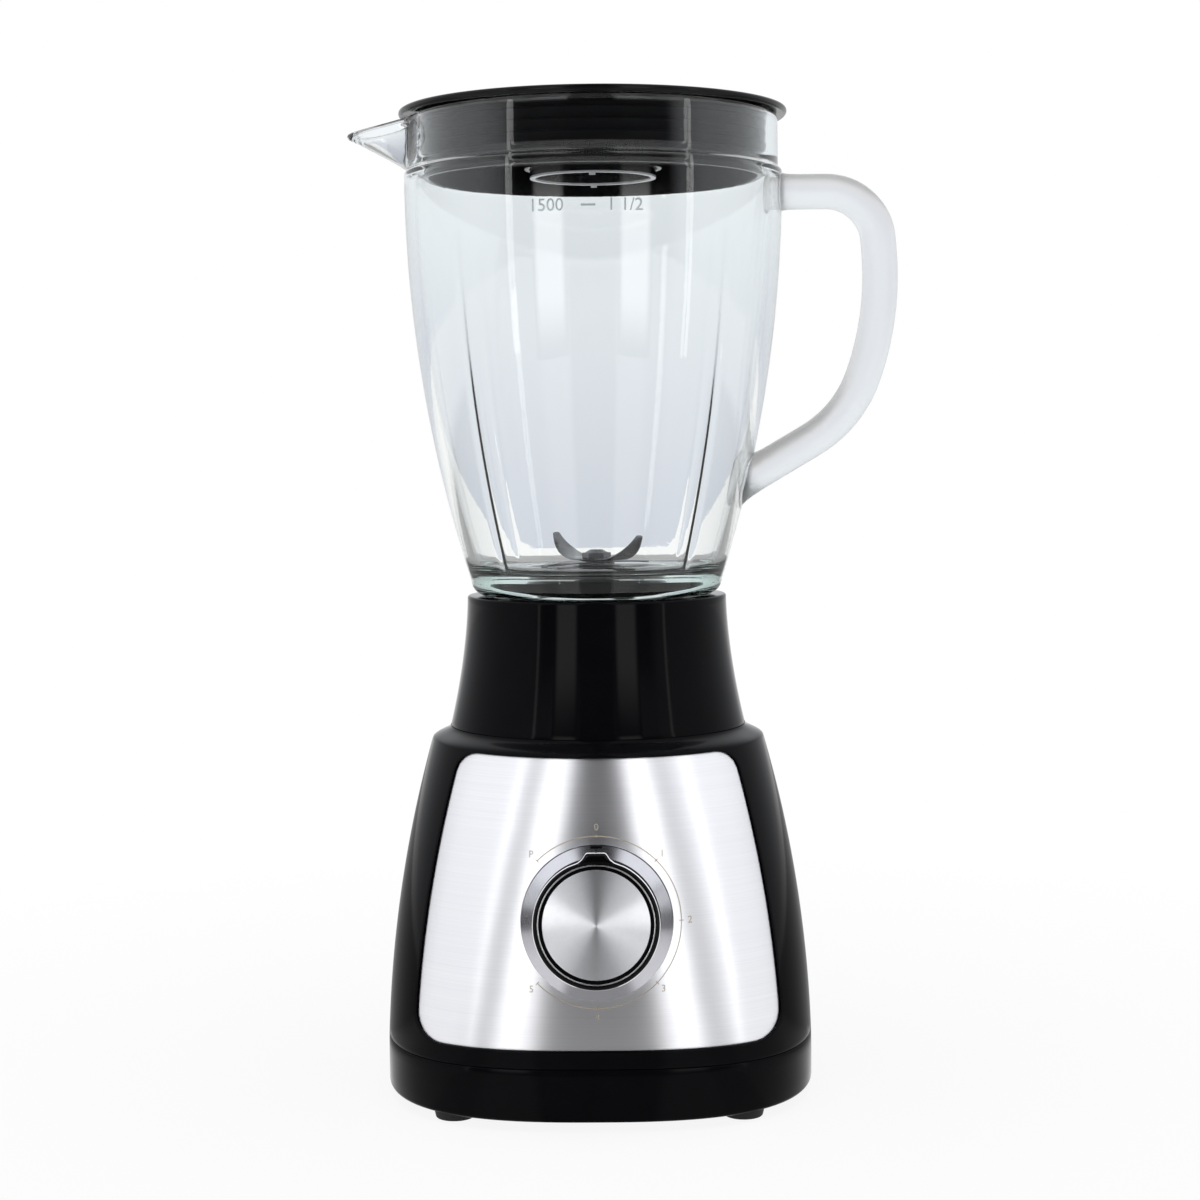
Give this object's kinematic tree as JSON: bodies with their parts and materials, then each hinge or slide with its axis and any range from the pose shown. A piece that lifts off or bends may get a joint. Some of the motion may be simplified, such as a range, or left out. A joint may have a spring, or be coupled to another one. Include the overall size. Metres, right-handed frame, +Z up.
{
  "type": "countertop blender",
  "caption": "Countertop blender with a lift-off glass jug on a squared motor base, curved blades on a dog coupling, a push-in lid with filler cap, and a front dial.",
  "frame": {"origin": "on the drive axis, in the plane that the rubber feet stand on", "axes": "+Z up along the drive axis, the dial faces -Y, the jug's handle points to +X and its spout to -X"},
  "size_m": [0.2136, 0.1779, 0.3804],
  "materials": {
    "housing_black": "gloss",
    "cover_black": "gloss",
    "panel_steel": "brushed",
    "bezel_steel": "turned",
    "rubber_black": "matt",
    "screw_steel": "zinc plated",
    "switch_plastic": "moulded",
    "stack_steel": "stamped",
    "coil_copper": "enamelled copper",
    "bracket_alloy": "cast",
    "bush_bronze": "sintered bronze",
    "holder_resin": "moulded resin",
    "brush_carbon": "carbon",
    "knob_black": "gloss",
    "knob_chrome": "bright",
    "knob_metal": "spun",
    "shaft_steel": "ground",
    "armature_copper": "varnished windings",
    "commutator_copper": "turned copper",
    "fan_plastic": "moulded",
    "coupling_black": "moulded",
    "jug_clear_glass": "clear pressed glass",
    "carrier_black": "moulded",
    "gasket_silicone": "silicone",
    "blade_steel": "ground",
    "lid_black": "gloss",
    "cap_plastic": "moulded"
  },
  "bodies": {
    "base": {"lower_housing": "housing_black", "upper_collar": "housing_black", "steel_panel": "panel_steel", "bottom_cover": "cover_black", "feet": "rubber_black", "cord_gland": "rubber_black", "cover_screws": "screw_steel", "collar_screws": "screw_steel", "dial_bezel": "bezel_steel", "rotary_switch": "switch_plastic", "switch_nut": "screw_steel", "seat_pad": "rubber_black", "shaft_seal": "rubber_black", "motor_stator": "stack_steel", "field_coils": "coil_copper", "upper_bracket": "bracket_alloy", "lower_bracket": "bracket_alloy", "upper_bearing": "bush_bronze", "lower_bearing": "bush_bronze", "brush_holders": "holder_resin", "carbon_brushes": "brush_carbon", "motor_bolts": "screw_steel", "motor_mounts": "rubber_black", "motor_screws": "screw_steel"},
    "knob": {"knob_body": "knob_black", "knob_trim": "knob_chrome", "knob_ring": "knob_chrome", "knob_cap": "knob_metal", "switch_spindle": "shaft_steel"},
    "rotor": {"motor_shaft": "shaft_steel", "armature": "armature_copper", "commutator": "commutator_copper", "cooling_fan": "fan_plastic", "drive_coupling": "coupling_black"},
    "jug": {"jug_glass": "jug_clear_glass", "jug_handle": "jug_clear_glass", "blade_carrier": "carrier_black", "carrier_gasket": "gasket_silicone", "locking_ring": "carrier_black", "blade_bush": "bush_bronze"},
    "blades": {"blade_spindle": "shaft_steel", "lower_blade": "blade_steel", "upper_blade": "blade_steel", "blade_spacer": "blade_steel", "blade_nut": "blade_steel", "jug_coupling": "coupling_black"},
    "lid": {"lid_cover": "lid_black", "lid_seal": "gasket_silicone"},
    "filler_cap": {"filler_cap": "cap_plastic"}
  },
  "joints": [
    {"name": "knob_turn", "type": "hinge", "parent": "base", "child": "knob", "pos_m": [0, -0.07644, 0.0739], "axis": [0, 0.9896, -0.1436], "range_deg": [-45, 225]},
    {"name": "motor_spin", "type": "hinge", "parent": "base", "child": "rotor", "pos_m": [0, 0, 0.0984], "axis": [0, 0, 1], "continuous": true},
    {"name": "jug_lift", "type": "slide", "parent": "base", "child": "jug", "axis": [0, 0, 1], "range_m": [0, 0.08]},
    {"name": "blade_spin", "type": "hinge", "parent": "jug", "child": "blades", "pos_m": [0, 0, 0.1984], "axis": [0, 0, 1], "continuous": true},
    {"name": "lid_lift", "type": "slide", "parent": "jug", "child": "lid", "axis": [0, 0, 1], "range_m": [0, 0.06]},
    {"name": "cap_lift", "type": "slide", "parent": "lid", "child": "filler_cap", "axis": [0, 0, 1], "range_m": [0, 0.05]}
  ],
  "couplings": [
    {"joint": "blade_spin", "follows": "motor_spin", "ratio": 1}
  ]
}
